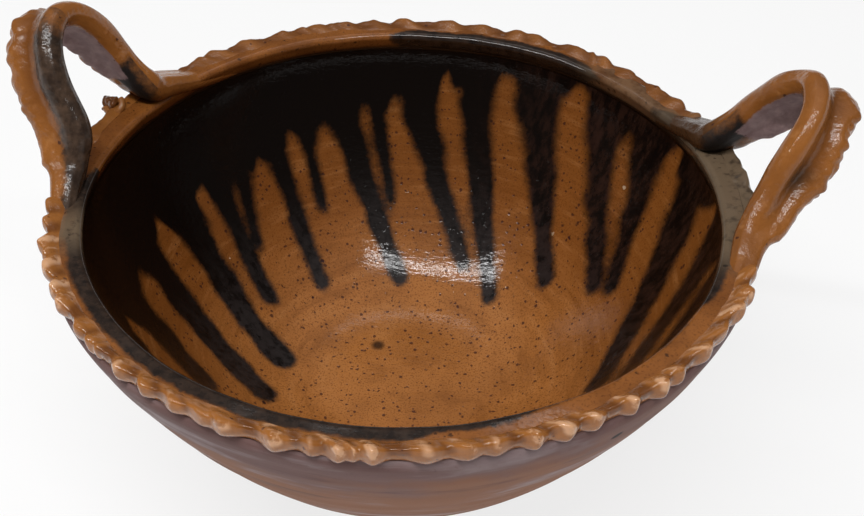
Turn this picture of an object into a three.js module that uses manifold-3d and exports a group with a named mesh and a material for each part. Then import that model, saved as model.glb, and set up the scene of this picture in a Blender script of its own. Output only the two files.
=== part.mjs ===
// A hand-built clay cazuela: a deep flaring bowl, a flattened lip on its edge, a finger-crimped
// coil round the outside of the lip, and two grooved strap handles whose feet stand on the rim.
// Millimetres, +Z up. The origin is the centre of the flat underside.
import * as THREE from "three";
import { mergeVertices } from "three/addons/utils/BufferGeometryUtils.js";
import Module from "manifold-3d";

// Joints between the luted clay members
const lutingGap = 0.3;

// Bowl
const baseRadius = 63; // flat underside that the pot stands on
const floorThickness = 10;
const cavityFloorRadius = 46; // flat middle of the inside
const rimHeight = 108; // underside to the flat top of the lip
const openingRadius = 118; // inner edge of the lip
const wallThickness = 10.8; // at the upper edge of the shell
const outsideFullness = 1.2; // 1 is a straight cone, 2 a quarter of an ellipse
const insideFullness = 1.3;

// Lip
const lipThickness = 8;
const lipOverhang = 1.5; // how far the lip stands in over the wall of the bowl
const lipRound = 2; // rounded inner edge
const bandWidth = 7.5; // flat band inside the coil
const coilSeatDrop = 3; // ledge that the coil lies on, below the band

// Coil
const coilWidth = 7; // to the middle of the crimps
const coilRise = 3; // ridge above the flat band
const crimpPitchFront = 16; // one press of a finger, along the outer edge
const crimpPitchBack = 20;
const crimpDepth = 2.4; // in and out, crest to valley
const crimpDip = 1.1; // up and down, ridge to pressed hollow

// Handles
const handleSwing = 8.65; // degrees that both handles sit behind the side-to-side line
const leftLean = 22; // degrees outwards from upright
const rightLean = 33;
const loopRise = 53; // rim to the top of the inner roll, along the lean
const loopFullness = 2.4; // 2 is an ellipse, more is squarer
const legHalfWidth = 24;
const loopSetback = 4; // the top of each loop sits this far behind the middle of its feet
const footSpread = 35.5; // half the distance between the middles of the two feet
const footLength = 17;
const flareHeight = 32; // height at which the feet have run out into the legs
const rollSpacing = 14; // middle of the inner roll to middle of the outer roll
const innerRollRadius = 5.2;
const outerRollRadius = 4.9;
const grooveDepth = 2.6; // finger groove between the rolls
const footInnerRollRadius = 5;
const footOuterRollRadius = 3.8;

// Facets
const roundSegments = 64;
const wallSteps = 11;
const edgeSteps = 3;
const stepsPerCrimp = 6;
const plainCoilSteps = 10;
const strapSteps = 44;
const rollSteps = 4; // half of a roll
const weldDistance = 1e-3; // points closer than this are one

// Sizes that follow from the ones above
const cavityTopRadius = openingRadius + lipOverhang;
const wallTopRadius = cavityTopRadius + wallThickness;
const lipBottom = rimHeight - lipThickness;
const shellTop = lipBottom - lutingGap;
const ledgeRadius = openingRadius + bandWidth;
const ledgeHeight = rimHeight - coilSeatDrop;
const coilInnerRadius = ledgeRadius + lutingGap;
const coilSeat = ledgeHeight + lutingGap;
const coilOuterRadius = coilInnerRadius + coilWidth;
const footRadius = openingRadius + footInnerRollRadius; // middle of the inner roll on the rim
const footRollSpacing = coilOuterRadius - footOuterRollRadius - footRadius;
const footReach = footSpread + footLength / 2;
const footEndAngle = Math.asin(footReach / footRadius);
const coilEndGap = lutingGap / openingRadius; // radians
const degree = Math.PI / 180;
const rightMiddle = handleSwing * degree;
const leftMiddle = Math.PI - rightMiddle;
const up = new THREE.Vector3(0, 0, 1);

const wasm = await Module();
wasm.setup();

// A closed geometry as a solid that can be cut.
function solidOf(geometry) {
  const bare = geometry.clone();
  bare.deleteAttribute("normal");
  bare.deleteAttribute("uv");
  const merged = mergeVertices(bare, weldDistance);
  const vertProperties = merged.attributes.position.array;
  const triVerts = new Uint32Array(merged.index.array);
  return new wasm.Manifold(new wasm.Mesh({ numProp: 3, vertProperties, triVerts }));
}

// A solid as a geometry again.
function geometryOf(solid) {
  const { vertProperties, triVerts } = solid.getMesh();
  const geometry = new THREE.BufferGeometry();
  geometry.setAttribute("position", new THREE.BufferAttribute(vertProperties, 3));
  geometry.setIndex(new THREE.BufferAttribute(triVerts, 1));
  geometry.computeVertexNormals();
  return geometry;
}

// A profile of radius and height, turned round the pot's axis.
function turned(profile) {
  return new THREE.LatheGeometry(profile, roundSegments).rotateX(Math.PI / 2);
}

// A closed skin through a row of sections with equal counts of points, with a cap on both ends.
// Each section has a flat outline and a matrix that puts it in place, facing the next one.
function lofted(sections) {
  const count = sections[0].outline.length;
  const last = sections.length - 1;
  const points = sections.flatMap(({ outline, place }) =>
    outline.map((p) => new THREE.Vector3(p.x, p.y, 0).applyMatrix4(place)),
  );
  const faces = [];
  for (let s = 0; s < last; s += 1) {
    for (let i = 0; i < count; i += 1) {
      const a = s * count + i;
      const b = s * count + ((i + 1) % count);
      faces.push(a, b, b + count, a, b + count, a + count);
    }
  }
  for (const [a, b, c] of THREE.ShapeUtils.triangulateShape(sections[0].outline, [])) {
    faces.push(a, c, b);
  }
  for (const [a, b, c] of THREE.ShapeUtils.triangulateShape(sections[last].outline, [])) {
    faces.push(last * count + a, last * count + b, last * count + c);
  }
  const geometry = new THREE.BufferGeometry().setFromPoints(points);
  geometry.setIndex(faces);
  geometry.computeVertexNormals();
  return geometry;
}

// One side of the wall, from a flat start at its foot to upright at its top.
function wallCurve(startRadius, startHeight, endRadius, endHeight, fullness) {
  const points = [];
  for (let i = 0; i <= wallSteps; i += 1) {
    const turn = (i / wallSteps) * (Math.PI / 2);
    const outward = Math.sin(turn) ** (2 / fullness);
    const upward = 1 - Math.cos(turn) ** (2 / fullness);
    points.push(
      new THREE.Vector2(
        startRadius + (endRadius - startRadius) * outward,
        startHeight + (endHeight - startHeight) * upward,
      ),
    );
  }
  return points;
}

function bowlShell() {
  const outside = wallCurve(baseRadius, 0, wallTopRadius, shellTop, outsideFullness);
  const inside = wallCurve(
    cavityFloorRadius,
    floorThickness,
    cavityTopRadius,
    shellTop,
    insideFullness,
  );
  return turned([
    new THREE.Vector2(0, 0),
    ...outside,
    ...inside.reverse(),
    new THREE.Vector2(0, floorThickness),
  ]);
}

// The lip is flat on top, rounded at the opening, and stepped down outside for the coil.
function lipRing() {
  const section = new THREE.Path();
  section.moveTo(cavityTopRadius, lipBottom);
  section.lineTo(wallTopRadius, lipBottom);
  section.lineTo(wallTopRadius, ledgeHeight);
  section.lineTo(ledgeRadius, ledgeHeight);
  section.lineTo(ledgeRadius, rimHeight);
  section.lineTo(openingRadius + lipRound, rimHeight);
  section.absarc(
    openingRadius + lipRound,
    rimHeight - lipRound,
    lipRound,
    Math.PI / 2,
    Math.PI,
    false,
  );
  section.lineTo(cavityTopRadius, lipBottom);
  return turned(section.getPoints(edgeSteps));
}

// A turned ring with a rectangular section.
function squareRing(innerRadius, outerRadius, bottom, top) {
  return turned([
    new THREE.Vector2(innerRadius, bottom),
    new THREE.Vector2(outerRadius, bottom),
    new THREE.Vector2(outerRadius, top),
    new THREE.Vector2(innerRadius, top),
    new THREE.Vector2(innerRadius, bottom),
  ]);
}

// What the feet of the handles are cut to: the upper side of the lip, a luting gap higher.
function footSeat() {
  const innerReach = openingRadius - rollSpacing;
  const outerReach = coilOuterRadius + rollSpacing;
  const underBand = squareRing(innerReach, coilInnerRadius, lipBottom, rimHeight + lutingGap);
  const underCoil = squareRing(innerReach, outerReach, lipBottom, coilSeat);
  return solidOf(underBand).add(solidOf(underCoil));
}

// Section of the coil, as radius and height. A press of 1 is the middle of a finger's hollow,
// where the edge is pushed out and the ridge is pushed down; 0 is between two fingers. The
// inner slope is hollow, the ridge is close to the outer edge, and the edge hangs free.
function coilOutline(press) {
  const reach = coilOuterRadius + crimpDepth * (press - 0.5);
  const rise = coilRise - crimpDip * press;
  const at = (inset, lift) => new THREE.Vector2(reach - coilWidth * inset, rimHeight + rise * lift);
  return [
    new THREE.Vector2(coilInnerRadius, coilSeat),
    new THREE.Vector2(coilInnerRadius + coilWidth / 2, coilSeat),
    at(0.1, 0.15),
    at(0, 0.6),
    at(0.05, 0.9),
    at(0.2, 1),
    at(0.4, 0.7),
    at(0.65, 0.3),
    new THREE.Vector2(coilInnerRadius, rimHeight - lutingGap),
  ];
}

// A length of coil between two angles, pressed in by a whole number of fingers.
function rimCoil(startAngle, endAngle, crimps, steps) {
  const sections = [];
  for (let i = 0; i <= steps; i += 1) {
    const angle = startAngle + (endAngle - startAngle) * (i / steps);
    const press = (1 - Math.cos((2 * Math.PI * crimps * i) / steps)) / 2;
    const radial = new THREE.Vector3(Math.cos(angle), Math.sin(angle), 0);
    const place = new THREE.Matrix4().makeBasis(radial, up, radial.clone().cross(up));
    sections.push({ outline: coilOutline(press), place });
  }
  return lofted(sections.reverse());
}

function crimpedCoil(startAngle, endAngle, pitch) {
  const length = (endAngle - startAngle) * coilOuterRadius;
  const crimps = Math.max(1, Math.round(length / pitch));
  return rimCoil(startAngle, endAngle, crimps, crimps * stepsPerCrimp);
}

// Section of a strap: a thick smooth roll inside, a lesser one outside, a groove between them
// on the side away from the fingers. x runs across the strap, y away from the loop's opening.
function strapOutline(spacing, innerRoll, outerRoll, groove) {
  const outline = [];
  for (let i = 0; i <= rollSteps; i += 1) {
    const turn = Math.PI / 2 + (Math.PI * i) / rollSteps;
    outline.push(new THREE.Vector2(innerRoll * Math.cos(turn), innerRoll * Math.sin(turn)));
  }
  for (let i = 0; i <= rollSteps; i += 1) {
    const turn = -Math.PI / 2 + (Math.PI * i) / rollSteps;
    const across = spacing + outerRoll * Math.cos(turn);
    outline.push(new THREE.Vector2(across, outerRoll * Math.sin(turn)));
  }
  for (const share of [0.75, 0.5, 0.25]) {
    const between = THREE.MathUtils.lerp(innerRoll, outerRoll, share);
    const depth = groove * Math.sin(Math.PI * share) ** 2;
    outline.push(new THREE.Vector2(spacing * share, between - depth));
  }
  return outline;
}

// A loop handle: its inner roll follows an arch in a plane that leans outwards, and its feet
// flare out along the rim, where the strap turns to lie level on the lip.
function handleStrap(middleAngle, leanDegrees, seat) {
  const lean = leanDegrees * degree;
  const radial = new THREE.Vector3(Math.cos(middleAngle), Math.sin(middleAngle), 0);
  const along = new THREE.Vector3(-Math.sin(middleAngle), Math.cos(middleAngle), 0);
  const rising = up.clone().multiplyScalar(Math.cos(lean)).addScaledVector(radial, Math.sin(lean));
  const across = radial.clone().multiplyScalar(Math.cos(lean)).addScaledVector(up, -Math.sin(lean));
  const planeRadius = Math.sqrt(footRadius ** 2 - footSpread ** 2);
  const footHeight = coilRise - footInnerRollRadius; // the ends of the feet meet the coil's ridge

  // A point of the inner roll's middle line. The strap has turned upright and moved back at the
  // end of the flare, and goes on widening up to the top of the loop.
  const rollPoint = (station) => {
    const turn = Math.PI * THREE.MathUtils.smoothstep(station, 0, 1);
    const climb = (loopRise - footHeight) * Math.sin(turn) ** (2 / loopFullness);
    const flare = Math.max(0, 1 - Math.sqrt(climb / flareHeight)) ** 2;
    const footFlare = (footReach - legHalfWidth) * flare;
    const sideways = legHalfWidth * Math.cos(turn) + Math.sign(Math.cos(turn)) * footFlare;
    const stand = THREE.MathUtils.smoothstep(climb, 0, flareHeight);
    const widen = THREE.MathUtils.smoothstep(climb, 0, loopRise);
    const rimFollow = Math.sqrt(footRadius ** 2 - sideways ** 2) - planeRadius;
    const setback = loopSetback * stand * Math.sign(along.y);
    const point = new THREE.Vector3(0, 0, rimHeight)
      .addScaledVector(radial, planeRadius + rimFollow * (1 - stand))
      .addScaledVector(along, sideways + setback)
      .addScaledVector(rising, climb)
      .addScaledVector(up, footHeight);
    return { point, stand, widen };
  };

  const stations = Array.from({ length: strapSteps + 1 }, (_, i) => rollPoint(i / strapSteps));
  const sections = stations.map(({ point, stand, widen }, i) => {
    const onRim = new THREE.Vector3(point.x, point.y, 0).normalize();
    const before = stations[Math.max(0, i - 1)].point;
    const after = stations[Math.min(strapSteps, i + 1)].point;
    const isEnd = i === 0 || i === strapSteps;
    const forward = isEnd ? onRim.clone().cross(up) : after.clone().sub(before).normalize();
    const width = onRim.clone().lerp(across, stand);
    const outward = forward.clone().cross(width).normalize();
    width.crossVectors(outward, forward).normalize();
    const mix = (foot, leg) => THREE.MathUtils.lerp(foot, leg, widen);
    return {
      outline: strapOutline(
        mix(footRollSpacing, rollSpacing),
        mix(footInnerRollRadius, innerRollRadius),
        mix(footOuterRollRadius, outerRollRadius),
        mix(0, grooveDepth),
      ),
      place: new THREE.Matrix4().makeBasis(width, outward, forward).setPosition(point),
    };
  });
  return solidOf(lofted(sections)).subtract(seat);
}

// Half the angle that is free between the feet of a handle, in the ring that the coil takes up.
function freeHalfAngle(strap, middleAngle) {
  const coilReach = coilOuterRadius + crimpDepth;
  const coilTop = rimHeight + coilRise + lutingGap;
  const coilSpace = solidOf(squareRing(ledgeRadius, coilReach, ledgeHeight, coilTop));
  const { position } = geometryOf(strap.intersect(coilSpace)).attributes;
  const point = new THREE.Vector3();
  let least = footEndAngle;
  for (let i = 0; i < position.count; i += 1) {
    point.fromBufferAttribute(position, i).applyAxisAngle(up, -middleAngle);
    least = Math.min(least, Math.abs(Math.atan2(point.y, point.x)));
  }
  return least - coilEndGap;
}

function plainCoil(middleAngle, halfAngle) {
  return rimCoil(middleAngle - halfAngle, middleAngle + halfAngle, 0, plainCoilSteps);
}

const clay = { color: 0x96602f, roughness: 0.3, metalness: 0 };
const pot = new THREE.Group();

function addPiece(name, geometry, look) {
  const piece = new THREE.Mesh(geometry, new THREE.MeshStandardMaterial({ ...clay, ...look }));
  piece.name = name;
  pot.add(piece);
}

const seat = footSeat();
const leftStrap = handleStrap(leftMiddle, leftLean, seat);
const rightStrap = handleStrap(rightMiddle, rightLean, seat);
const coilEnd = footEndAngle + coilEndGap;
const frontStart = leftMiddle + coilEnd;
const frontEnd = rightMiddle - coilEnd + 2 * Math.PI;
const backStart = rightMiddle + coilEnd;
const backEnd = leftMiddle - coilEnd;

addPiece("bowl_shell", bowlShell(), { roughness: 0.25 });
addPiece("lip_ring", lipRing(), { color: 0x3c2a25 });
addPiece("rim_coil_front", crimpedCoil(frontStart, frontEnd, crimpPitchFront), {});
addPiece("rim_coil_back", crimpedCoil(backStart, backEnd, crimpPitchBack), {});
addPiece("rim_coil_left", plainCoil(leftMiddle, freeHalfAngle(leftStrap, leftMiddle)), {});
addPiece("rim_coil_right", plainCoil(rightMiddle, freeHalfAngle(rightStrap, rightMiddle)), {});
addPiece("left_handle_strap", geometryOf(leftStrap), { color: 0x8d5c36 });
addPiece("right_handle_strap", geometryOf(rightStrap), { color: 0x8d5c36 });

export default pot;
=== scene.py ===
import math
import random

import bmesh
import bpy
from mathutils import Matrix, Vector, noise


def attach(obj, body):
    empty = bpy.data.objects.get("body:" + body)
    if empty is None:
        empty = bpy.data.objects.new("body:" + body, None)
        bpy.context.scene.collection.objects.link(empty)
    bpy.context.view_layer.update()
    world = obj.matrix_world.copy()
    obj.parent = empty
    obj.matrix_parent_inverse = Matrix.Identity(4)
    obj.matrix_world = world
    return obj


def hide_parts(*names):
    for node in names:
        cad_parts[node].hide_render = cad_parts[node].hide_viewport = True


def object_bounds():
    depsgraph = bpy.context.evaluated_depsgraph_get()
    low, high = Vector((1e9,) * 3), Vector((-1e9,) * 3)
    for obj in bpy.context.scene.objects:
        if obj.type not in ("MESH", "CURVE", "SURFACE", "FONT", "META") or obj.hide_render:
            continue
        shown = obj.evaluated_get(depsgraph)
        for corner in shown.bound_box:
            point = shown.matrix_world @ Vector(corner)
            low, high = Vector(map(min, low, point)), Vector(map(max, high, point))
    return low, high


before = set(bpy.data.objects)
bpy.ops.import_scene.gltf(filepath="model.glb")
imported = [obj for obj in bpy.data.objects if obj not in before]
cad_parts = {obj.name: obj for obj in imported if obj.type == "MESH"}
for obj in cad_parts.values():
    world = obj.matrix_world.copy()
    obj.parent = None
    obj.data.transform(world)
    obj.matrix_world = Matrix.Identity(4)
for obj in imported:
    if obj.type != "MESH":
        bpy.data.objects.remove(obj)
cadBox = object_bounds()
scene = bpy.context.scene
scene.view_settings.view_transform = "Standard"
mm = 0.001

# Sizes that every piece shares with the solid model, in millimetres and degrees
pot = {
    "rimHeight": 108,  # underside to the flat of the lip
    "openingRadius": 118,  # inner edge of the lip
    "cavityRadius": 119.5,  # wall of the bowl under the lip
    "wallRadius": 130.3,
    "lipBottom": 100,
    "coilOuter": 132.8,
    "coilSeat": 105.3,
    "handleSwing": 8.65,  # both handles sit this far behind the side-to-side line
    "footEnd": 20.96,  # from the middle of a handle to the end of its feet, round the rim
    "wander": 0.7,  # slow unevenness that a hand-built pot has all over, and its size
    "wanderSize": 70,
    "flatFoot": 30,  # height up to which the wander dies away, so that the pot stands flat
    "seed": 36,  # for noise_vector, which follows the clock without one
}
noise.seed_set(pot["seed"])
rightMiddle = math.radians(pot["handleSwing"])
leftMiddle = math.pi - rightMiddle
print("frame loaded")


def smoothstep(low, high, value):
    share = min(1, max(0, (value - low) / (high - low)))
    return share * share * (3 - 2 * share)


def mix(a, b, share):
    return a + (b - a) * share


def hump(low, peak, high, value):
    return smoothstep(low, peak, value) * smoothstep(high, peak, value)  # 1 at the peak, 0 past both ends


def angleBetween(a, b):
    return (a - b + math.pi) % (2 * math.pi) - math.pi  # shortest way round, in radians


def grain(point, size, seed=0):
    return noise.noise(point / size + Vector((seed, seed * 0.7, seed * 1.3)))  # point and size in mm


def handBuilt(point):
    # slow wander of the clay in mm, the same for every piece so that they stay together
    slow = noise.noise_vector(point / pot["wanderSize"])
    calm = smoothstep(0, pot["flatFoot"], point.z)
    return point + slow * pot["wander"] * calm


def finishPiece(name, bm, node, material):
    # millimetres become metres inside the box of the solid model, and the mesh becomes a piece of the object
    for vert in bm.verts:
        place = handBuilt(vert.co) * mm
        vert.co = [min(high, max(low, value)) for low, high, value in zip(*cadBox, place)]
    bmesh.ops.recalc_face_normals(bm, faces=bm.faces)
    for face in bm.faces:
        face.smooth = True
    mesh = bpy.data.meshes.new(name)
    bm.to_mesh(mesh)
    bm.free()
    mesh.materials.append(material)
    piece = bpy.data.objects.new(name, mesh)
    scene.collection.objects.link(piece)
    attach(piece, "root")
    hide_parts(node)
    print("piece", name, len(mesh.polygons), "faces")
    return piece


def addSubdivision(piece):
    smoother = piece.modifiers.new("smoother", "SUBSURF")
    smoother.levels = 1
    smoother.render_levels = 1


def turnProfile(bm, geometry, steps):
    # a closed turn of a profile about the upright axis
    bmesh.ops.spin(
        bm, geom=geometry, axis=(0, 0, 1), cent=(0, 0, 0), angle=2 * math.pi, steps=steps, use_merge=True
    )
    bmesh.ops.remove_doubles(bm, verts=bm.verts, dist=0.0001)


def drawLine(bm, points, closed=False):
    # radius and height of each point, joined in a row
    row = [bm.verts.new((radius, 0, height)) for radius, height in points]
    edges = [bm.edges.new(pair) for pair in zip(row, row[1:])]
    if closed:
        edges.append(bm.edges.new((row[-1], row[0])))
    return row, edges


def closeEnds(bm, sides):
    openEdges = [edge for edge in bm.edges if edge.is_boundary]
    bmesh.ops.holes_fill(bm, edges=openEdges, sides=sides)


def addLayers(bm, *names):
    # values that a piece carries for its material, one for each vertex
    return [bm.verts.layers.float.new(name) for name in names]


# Camera, at the photograph's place
photoView = {
    "azimuth": 8.95,  # degrees round the pot, from the front towards the right
    "elevation": 36.62,
    "distance": 487.65,  # mm from the middle of the opening
    "pan": -1.2264,  # degrees that the view is aimed away from the middle of the opening
    "tilt": -2.8654,
    "roll": 0.038,
    "focalPixels": 1300,
    "imageWidth": 864,
    "sensorWidth": 36,
}


def placeCamera():
    azimuth = math.radians(photoView["azimuth"])
    elevation = math.radians(photoView["elevation"])
    level = math.cos(elevation)
    away = Vector((math.sin(azimuth) * level, -math.cos(azimuth) * level, math.sin(elevation)))
    right = Vector((math.cos(azimuth), math.sin(azimuth), 0))
    turn = Matrix((right, away.cross(right), away)).transposed()
    turn = turn @ Matrix.Rotation(math.radians(photoView["pan"]), 3, "Y")
    turn = turn @ Matrix.Rotation(math.radians(photoView["tilt"]), 3, "X")
    turn = turn @ Matrix.Rotation(math.radians(-photoView["roll"]), 3, "Z")
    aim = Vector((0, 0, pot["rimHeight"]))
    view = bpy.data.cameras.new("photoCamera")
    view.sensor_fit = "HORIZONTAL"
    view.sensor_width = photoView["sensorWidth"]
    view.lens = photoView["focalPixels"] / photoView["imageWidth"] * photoView["sensorWidth"]
    view.clip_start = 0.01
    camera = bpy.data.objects.new("photoCamera", view)
    position = Matrix.Translation((aim + away * photoView["distance"]) * mm)
    camera.matrix_world = position @ turn.to_4x4()
    scene.collection.objects.link(camera)
    scene.camera = camera


placeCamera()
print("camera placed")


# Node helpers: a node with its inputs set by name or linked from another node's output
def feed(tree, socket, value):
    if isinstance(value, bpy.types.NodeSocket):
        tree.links.new(value, socket)
    else:
        socket.default_value = value


def addNode(tree, kind, options=None, **inputs):
    made = tree.nodes.new(kind)
    for name, value in (options or {}).items():
        setattr(made, name, value)
    for name, value in inputs.items():
        feed(tree, made.inputs[name.replace("_", " ")], value)
    return made


def calc(tree, operation, first, second):
    made = addNode(tree, "ShaderNodeMath", {"operation": operation})
    feed(tree, made.inputs[0], first)
    feed(tree, made.inputs[1], second)
    return made.outputs[0]


def times(tree, first, second):
    return calc(tree, "MULTIPLY", first, second)


def tint(tree, colour, towards, mask, share=1):
    # a colour turned towards another by a mask; a name stands for one of the colours in `finish`
    made = addNode(tree, "ShaderNodeMix", {"data_type": "RGBA"})
    feed(tree, made.inputs[0], mask if share == 1 else times(tree, mask, share))
    for socket, value in ((made.inputs[6], colour), (made.inputs[7], towards)):
        feed(tree, socket, (*finish[value], 1) if isinstance(value, str) else value)
    return made.outputs[2]


def blendValues(tree, factor, first, second):
    made = tree.nodes.new("ShaderNodeMix")
    feed(tree, made.inputs[0], factor)
    feed(tree, made.inputs[2], first)
    feed(tree, made.inputs[3], second)
    return made.outputs[0]


def ramp(tree, value, low, high, start=0.0, end=1.0):
    made = addNode(tree, "ShaderNodeMapRange", {"interpolation_type": "SMOOTHSTEP"}, Value=value)
    for name, limit in (("From Min", low), ("From Max", high), ("To Min", start), ("To Max", end)):
        feed(tree, made.inputs[name], limit)
    return made.outputs["Result"]


def cloud(tree, vector, scale, detail, roughness):
    made = addNode(tree, "ShaderNodeTexNoise", Vector=vector, Scale=scale, Detail=detail, Roughness=roughness)
    return made.outputs["Fac"]


def drawnCloud(tree, place, scale, detail, roughness):
    # a cloud with its own scale along each axis, for marks drawn out round the pot or down the wall
    drawn = addNode(tree, "ShaderNodeMapping", Vector=place, Scale=scale).outputs["Vector"]
    return cloud(tree, drawn, 1.0, detail, roughness)


def fromPiece(tree, name):
    return addNode(tree, "ShaderNodeAttribute", {"attribute_name": name}).outputs["Fac"]


def newGroup(name, inputs, outputs):
    tree = bpy.data.node_groups.new(name, "ShaderNodeTree")
    tree.interface.new_socket("Place", in_out="INPUT", socket_type="NodeSocketVector")
    for socketName in inputs:
        tree.interface.new_socket(socketName, in_out="INPUT", socket_type="NodeSocketFloat")
    for socketName in outputs:
        tree.interface.new_socket(socketName, in_out="OUTPUT", socket_type="NodeSocketFloat")
    source = tree.nodes.new("NodeGroupInput")
    result = tree.nodes.new("NodeGroupOutput")
    return tree, source.outputs, result.inputs


def useGroup(tree, group, **inputs):
    made = tree.nodes.new("ShaderNodeGroup")
    made.node_tree = group
    for name, value in inputs.items():
        feed(tree, made.inputs[name], value)
    return made.outputs


# Shared effects
def makeSpeckGroup():
    # small pits and specks scattered over a surface, only in some of the cells
    tree, given, result = newGroup("scatteredSpecks", ("Scale", "Size", "Share"), ("Mask",))
    warp = addNode(tree, "ShaderNodeTexNoise", Vector=given["Place"], Scale=900.0, Detail=1.0)
    shift = addNode(tree, "ShaderNodeVectorMath", {"operation": "SCALE"}, Scale=0.0012)
    feed(tree, shift.inputs[0], warp.outputs["Color"])
    moved = addNode(tree, "ShaderNodeVectorMath", {"operation": "ADD"})
    feed(tree, moved.inputs[0], given["Place"])
    feed(tree, moved.inputs[1], shift.outputs[0])
    cells = addNode(tree, "ShaderNodeTexVoronoi", Vector=moved.outputs[0], Scale=given["Scale"])
    parts = addNode(tree, "ShaderNodeSeparateColor", Color=cells.outputs["Color"]).outputs
    radius = times(tree, given["Size"], times(tree, parts["Green"], parts["Green"]))
    dot = ramp(tree, cells.outputs["Distance"], radius, times(tree, radius, 0.6))
    chosen = calc(tree, "LESS_THAN", parts["Red"], given["Share"])
    tree.links.new(times(tree, dot, chosen), result["Mask"])
    return tree


def makeSlipGroup():
    # how much slip lies at a place, from the way to its nearest edge in mm, with a ragged soft edge
    inputs = ("Depth", "Softness", "Wander", "Grain")
    tree, given, result = newGroup("slipCover", inputs, ("Cover", "Rim"))
    slow = calc(tree, "SUBTRACT", cloud(tree, given["Place"], 90.0, 4.0, 0.6), 0.5)
    fine = calc(tree, "SUBTRACT", cloud(tree, given["Place"], 480.0, 3.0, 0.7), 0.5)
    depth = calc(tree, "ADD", given["Depth"], times(tree, slow, given["Wander"]))
    depth = calc(tree, "ADD", depth, times(tree, fine, given["Grain"]))
    cover = ramp(tree, depth, times(tree, given["Softness"], -1.0), given["Softness"])
    tree.links.new(cover, result["Cover"])
    outer = ramp(tree, depth, times(tree, given["Softness"], -2.5), 0.0)
    inner = ramp(tree, depth, times(tree, given["Softness"], 2.5), 0.0)
    tree.links.new(times(tree, outer, inner), result["Rim"])
    return tree


def makeGlazeGroup():
    # unevenness of a lead glaze: broad pooling and fine crawl
    tree, given, result = newGroup("glazeSurface", ("Broad", "Fine"), ("Height", "Pool"))
    broad = cloud(tree, given["Place"], given["Broad"], 2.0, 0.5)
    fine = cloud(tree, given["Place"], given["Fine"], 3.0, 0.6)
    height = calc(tree, "ADD", times(tree, broad, 0.7), times(tree, fine, 0.3))
    tree.links.new(height, result["Height"])
    tree.links.new(ramp(tree, broad, 0.3, 0.7), result["Pool"])
    return tree


speckGroup = makeSpeckGroup()
slipGroup = makeSlipGroup()
glazeGroup = makeGlazeGroup()

# Colours of the clay, slip and glaze, linear
finish = {
    "orangeFloor": (0.365, 0.138, 0.034),
    "orangeWall": (0.205, 0.068, 0.013),
    "orangeBurnt": (0.120, 0.036, 0.006),
    "orangePale": (0.430, 0.185, 0.060),
    "paleGrit": (0.600, 0.450, 0.300),
    "slipBlack": (0.0045, 0.0025, 0.0018),
    "slipBrown": (0.026, 0.011, 0.007),
    "slipGreyAndSheen": (0.022, 0.017, 0.016),
    "lilac": (0.130, 0.072, 0.066),
    "lilacPale": (0.225, 0.170, 0.172),
    "pinkBrown": (0.195, 0.082, 0.041),
    "streakDark": (0.070, 0.028, 0.022),
    "brownGlaze": (0.240, 0.083, 0.018),
    "brownDark": (0.085, 0.026, 0.006),
    "brownPale": (0.400, 0.180, 0.065),
    "coilBrown": (0.310, 0.115, 0.026),
    "coilHollow": (0.120, 0.038, 0.008),
    # pale of worn glaze on the coil's ridges, also standing in as painted glints
    "coilPaleAndGlint": (0.540, 0.290, 0.150),
    "strapBrown": (0.255, 0.092, 0.021),
    "smokeBrown": (0.040, 0.021, 0.011),
    "lipSlip": (0.010, 0.006, 0.0045),
    "lipSlipThin": (0.036, 0.021, 0.014),
    "greyBeige": (0.130, 0.090, 0.056),
    "bareClay": (0.175, 0.110, 0.108),
    "bareClayPale": (0.250, 0.170, 0.164),
    "strapSlip": (0.026, 0.016, 0.011),
    "strapSlipThin": (0.066, 0.040, 0.026),
    "rustSpeck": (0.038, 0.010, 0.008),
    # black of real soot, scorch and specks, and of painted shadow under the back legs
    "sootAndShadowDark": (0.008, 0.005, 0.004),
}


def newMaterial(name, shine):
    material = bpy.data.materials.new(name)
    material.use_nodes = True
    tree = material.node_tree
    shader = tree.nodes["Principled BSDF"]
    shader.inputs["Specular IOR Level"].default_value = shine
    return material, tree, shader


def glazedMaterial(name, look):
    material, tree, shader = newMaterial(name, look["shine"])
    place = addNode(tree, "ShaderNodeTexCoord").outputs["Object"]
    glaze = useGroup(tree, glazeGroup, Place=place, Broad=look["broad"], Fine=look["fine"])
    return material, tree, shader, place, glaze


def dress(tree, shader, colour, rough, height, look):
    bump = addNode(tree, "ShaderNodeBump", Height=height, Strength=look["bump"], Distance=look["bumpDepth"])
    tree.links.new(colour, shader.inputs["Base Color"])
    tree.links.new(rough, shader.inputs["Roughness"])
    tree.links.new(bump.outputs["Normal"], shader.inputs["Normal"])


def specksOn(tree, place, scale, size, share):
    return useGroup(tree, speckGroup, Place=place, Scale=scale, Size=size, Share=share)["Mask"]


def coverOn(tree, place, depthName, softness, wander, coarse):
    # slip, soot or bare clay, from the depth that the piece carries
    depth = fromPiece(tree, depthName)
    return useGroup(tree, slipGroup, Place=place, Depth=depth, Softness=softness, Wander=wander, Grain=coarse)


def ashOn(tree, place, low, high, share):
    # beige ash with clouds of soot in it
    smoke = cloud(tree, place, 70.0, 4.0, 0.6)
    return tint(tree, "greyBeige", "sootAndShadowDark", ramp(tree, smoke, low, high), share)


def spotAt(tree, place, middle, inner, outer, stretch=(1, 1, 1)):
    # 1 within the inner radius of a point of the piece and 0 past the outer one, metres
    centre = tuple(-m * s for m, s in zip(middle, stretch))
    moved = addNode(tree, "ShaderNodeMapping", Vector=place, Scale=stretch, Location=centre).outputs["Vector"]
    far = addNode(tree, "ShaderNodeVectorMath", {"operation": "LENGTH"}, Vector=moved).outputs["Value"]
    return ramp(tree, far, outer, inner)


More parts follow.
